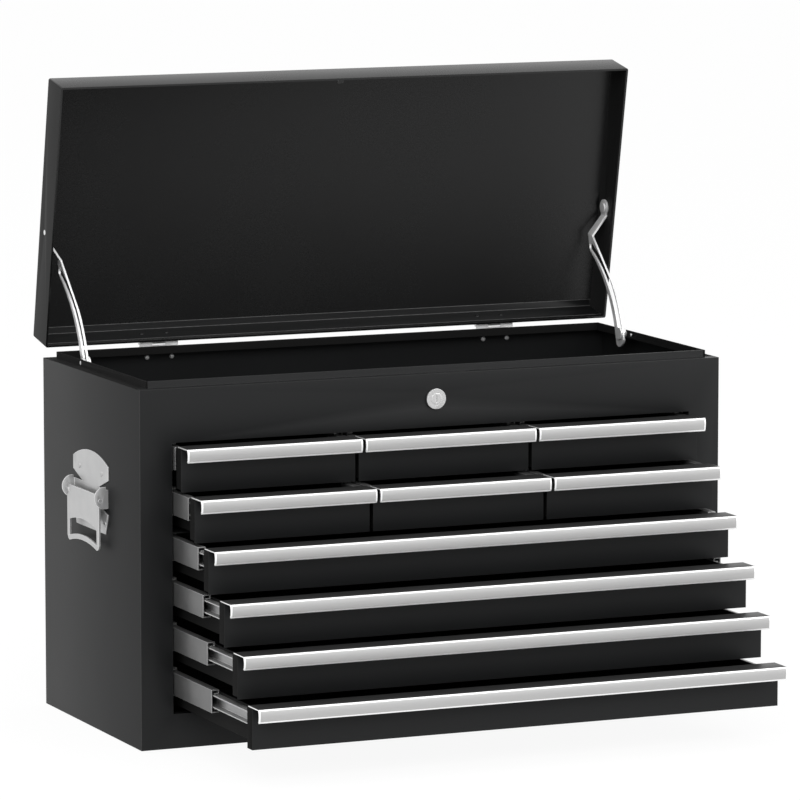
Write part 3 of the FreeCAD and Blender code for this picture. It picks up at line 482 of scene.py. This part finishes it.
def rivet(word, spots, way, radius, height, body, slot="plated_steel"):
    """Domed rivet heads, each standing off its seat along way."""
    form = bmesh.new()
    for spot in spots:
        made = bmesh.ops.create_uvsphere(form, u_segments=20, v_segments=12, radius=radius)
        turn = Vector((0, 0, 1)).rotation_difference(Vector(way)).to_matrix().to_4x4()
        flat = Matrix.Diagonal((1, 1, height / radius, 1))
        bmesh.ops.transform(form, matrix=Matrix.Translation(spot) @ turn @ flat, verts=made["verts"])
    cut(form, spots[0], way, clear_inner=True)
    bmesh.ops.remove_doubles(form, verts=form.verts, dist=RIVET_WELD)
    bmesh.ops.holes_fill(form, edges=[edge for edge in form.edges if len(edge.link_faces) == 1], sides=0)
    bmesh.ops.recalc_face_normals(form, faces=form.faces)
    return finished(form, word, slot, body)


def back_row(y):
    """Places of the hinge rivets on the back wall, at the given depth."""
    return [Vector((x, y, BACK_RIVET_HEIGHT)) * MM for x in HINGE_RIVETS]


def lid_row(y):
    """Places of the hinge rivets on the open lid; y is measured on the closed lid, from the axis."""
    return [HINGE + OPEN_TURN @ Vector((x * MM, y * MM, LID_RIVET_RISE * MM)) for x in HINGE_RIVETS]


rivet("hinge_rivets_inside", back_row(BACK_INSIDE), (0, -1, 0),
      radius=2.4 * MM, height=1.4 * MM, body="cabinet")
rivet("hinge_rivets_outside", back_row(BACK_OUTSIDE), (0, 1, 0),
      radius=2.6 * MM, height=1.2 * MM, body="cabinet")
rivet("lid_rivets_outside", lid_row(LID_OUTSIDE), OPEN_TURN @ Vector((0, 1, 0)),
      radius=2.6 * MM, height=1.2 * MM, body="lid")
rivet("lid_rivets_inside", lid_row(LID_INSIDE), OPEN_TURN @ Vector((0, -1, 0)),
      radius=2.4 * MM, height=1.2 * MM, body="lid", slot="lid_paint")
for side, name in ((-1, "left"), (1, "right")):
    plate = [Vector((side * HANDLE_FACE, y + HANDLE_MIDDLE[0], z + HANDLE_MIDDLE[1])) * MM
             for y, z in HANDLE_RIVETS]
    rivet(name + "_handle_rivets", plate, (side, 0, 0),
          radius=3.0 * MM, height=1.4 * MM, body="cabinet", slot="handle_chrome")
    lip = Vector((side * LIP_RIVET[0], LIP_RIVET[1], LIP_RIVET[2])) * MM
    rivet(name + "_lip_rivet", [lip], (-side, 0, 0),
          radius=1.7 * MM, height=0.8 * MM, body="cabinet")


# studio

def shown_rays(tree, share):
    """The given share for the rays that show the background, and 0 for the rays that light."""
    path = tree.nodes.new("ShaderNodeLightPath")
    total = path.outputs["Is Camera Ray"]
    for kind in ("Is Glossy Ray", "Is Transmission Ray"):
        larger = tree.nodes.new("ShaderNodeMath")
        larger.operation = "MAXIMUM"
        tree.links.new(total, larger.inputs[0])
        tree.links.new(path.outputs[kind], larger.inputs[1])
        total = larger.outputs[0]
    part = tree.nodes.new("ShaderNodeMath")
    part.operation = "MULTIPLY"
    part.inputs[1].default_value = share
    tree.links.new(total, part.inputs[0])
    return part.outputs[0]


def studio_white(word, colour, glow, share):
    """Floor that lights as its colour and shows nearly white to the camera and in reflections."""
    material = bpy.data.materials.new(word)
    material.use_nodes = True
    tree = material.node_tree
    tree.nodes.clear()
    output = tree.nodes.new("ShaderNodeOutputMaterial")
    diffuse = tree.nodes.new("ShaderNodeBsdfDiffuse")
    diffuse.inputs["Color"].default_value = colour
    emission = tree.nodes.new("ShaderNodeEmission")
    emission.inputs["Strength"].default_value = glow
    mix = tree.nodes.new("ShaderNodeMixShader")
    tree.links.new(shown_rays(tree, share), mix.inputs[0])
    tree.links.new(diffuse.outputs[0], mix.inputs[1])
    tree.links.new(emission.outputs[0], mix.inputs[2])
    tree.links.new(mix.outputs[0], output.inputs["Surface"])
    return material


def studio_world(strength):
    """World that lights with the given strength and shows white."""
    world = bpy.data.worlds.new("studio")
    bpy.context.scene.world = world
    world.use_nodes = True
    tree = world.node_tree
    tree.nodes.clear()
    output = tree.nodes.new("ShaderNodeOutputWorld")
    room = tree.nodes.new("ShaderNodeBackground")
    room.inputs["Color"].default_value = (1, 1, 1, 1)
    room.inputs["Strength"].default_value = strength
    white = tree.nodes.new("ShaderNodeBackground")
    white.inputs["Color"].default_value = (1, 1, 1, 1)
    mix = tree.nodes.new("ShaderNodeMixShader")
    tree.links.new(shown_rays(tree, 1.0), mix.inputs[0])
    tree.links.new(room.outputs[0], mix.inputs[1])
    tree.links.new(white.outputs[0], mix.inputs[2])
    tree.links.new(mix.outputs[0], output.inputs["Surface"])


FLOOR_SIZE = 30
FLOOR_GAP = 0.5 * MM


def floor():
    form = bmesh.new()
    bmesh.ops.create_grid(form, x_segments=1, y_segments=1, size=FLOOR_SIZE / 2)
    mesh = bpy.data.meshes.new("floor")
    form.to_mesh(mesh)
    form.free()
    mesh.materials.append(studio_white("floor_white", (0.88, 0.88, 0.88, 1), glow=1.03, share=0.9))
    piece = bpy.data.objects.new("floor", mesh)
    bpy.context.scene.collection.objects.link(piece)
    piece.location.z = -FLOOR_GAP


CHEST_MIDDLE = Vector((0, 0, 0.3))


def soft_light(word, spot, size, power):
    """Square area light that looks at the middle of the chest."""
    lamp = bpy.data.lights.new(word, "AREA")
    lamp.shape = "SQUARE"
    lamp.size = size
    lamp.energy = power
    holder = bpy.data.objects.new(word, lamp)
    holder.location = spot
    holder.rotation_euler = (CHEST_MIDDLE - Vector(spot)).to_track_quat("-Z", "Y").to_euler()
    bpy.context.scene.collection.objects.link(holder)


CAMERA_SPOT = (-2.1461, -4.9581, 1.0377)
CAMERA_TILT = 7.792
CAMERA_TURN = -23.599
FOCAL_LENGTH = 253.3


def camera():
    """Camera of the photograph: its place, its turn and its long focal length."""
    lens = bpy.data.cameras.new("camera")
    lens.sensor_width = 36
    lens.lens = FOCAL_LENGTH
    lens.clip_end = 100
    holder = bpy.data.objects.new("camera", lens)
    holder.location = CAMERA_SPOT
    holder.rotation_euler = (math.radians(90 - CAMERA_TILT), 0, math.radians(CAMERA_TURN))
    bpy.context.scene.collection.objects.link(holder)
    bpy.context.scene.camera = holder


floor()
studio_world(strength=0.7)
soft_light("key", (-1.9, -3.5, 2.8), size=2.4, power=70)
soft_light("fill", (2.4, -3.4, 2.6), size=2.2, power=45)
soft_light("top", (0, -0.6, 3.6), size=2.4, power=25)
camera()
bpy.context.scene.view_settings.view_transform = "Standard"
